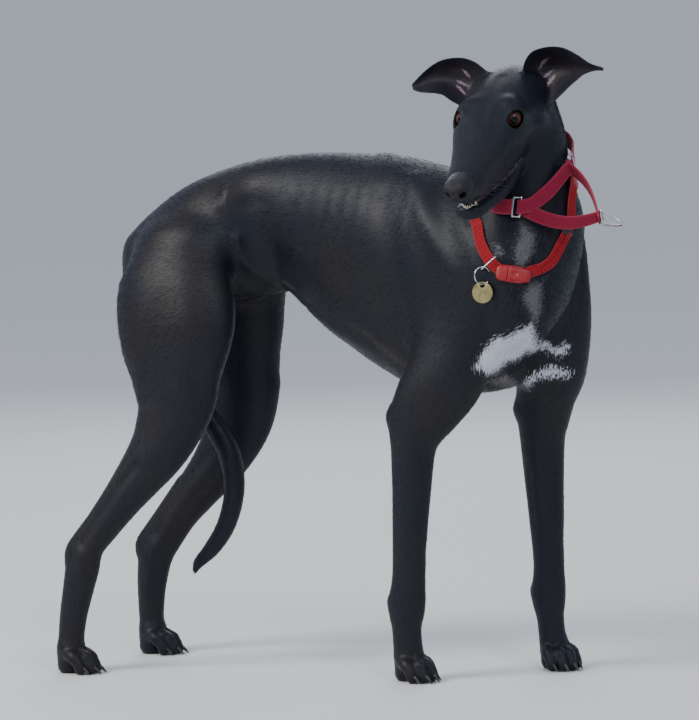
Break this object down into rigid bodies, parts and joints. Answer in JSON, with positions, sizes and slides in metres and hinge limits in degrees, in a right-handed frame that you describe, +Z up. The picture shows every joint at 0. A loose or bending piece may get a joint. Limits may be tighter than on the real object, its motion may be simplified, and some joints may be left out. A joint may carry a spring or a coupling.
{
  "type": "greyhound",
  "caption": "Life-size standing greyhound with its head turned to its right and tail tucked, wearing a slip-link collar and a narrow webbing collar with a round tag.",
  "frame": {"origin": "middle of the box that holds the whole dog, at floor level under its paws", "axes": "+X along the back from the hips towards the chest, +Y to the dog's left, +Z up"},
  "size_m": [0.8615, 0.4186, 0.8973],
  "materials": {
    "coat": "short sleek black coat with a soft satin sheen and white markings on the chest and throat",
    "ear": "thin ear leather, black outside, purplish inside",
    "eye": "wet amber-brown eye with a dark pupil",
    "nose": "damp pebbled black nose",
    "tongue": "moist pink",
    "teeth": "smooth ivory",
    "webbing": "woven crimson nylon webbing",
    "webbing_narrow": "ribbed red nylon webbing",
    "buckle": "moulded red plastic",
    "keeper": "moulded black plastic",
    "steel": "polished plated wire",
    "brass": "lightly worn pale brass, left bare"
  },
  "bodies": {
    "root": {"torso": "coat", "shoulder_fore_right": "coat", "forearm_fore_right": "coat", "pastern_fore_right": "coat", "shoulder_fore_left": "coat", "forearm_fore_left": "coat", "pastern_fore_left": "coat", "thigh_hind_right": "coat", "shank_hind_right": "coat", "hock_hind_right": "coat", "thigh_hind_left": "coat", "shank_hind_left": "coat", "hock_hind_left": "coat", "paw_fore_right": "coat", "paw_fore_left": "coat", "paw_hind_right": "coat", "paw_hind_left": "coat", "tail_root": "coat", "tail_middle": "coat", "tail_tip": "coat", "eye_left": "eye", "eye_right": "eye", "neck": "coat", "head": "coat", "lower_jaw": "coat", "nose": "nose", "ear_right": "ear", "ear_left": "ear", "martingale_band": "webbing", "martingale_loop": "webbing", "slide_lower": "steel", "slide_upper": "steel", "end_ring": "steel", "narrow_collar_1": "webbing_narrow", "narrow_collar_2": "webbing_narrow", "narrow_collar_3": "webbing_narrow", "buckle": "buckle", "adjuster": "buckle", "keeper": "keeper", "tag_hook": "steel", "split_ring": "steel", "tag": "brass", "tongue": "tongue", "teeth_lower": "teeth"}
  },
  "joints": []
}
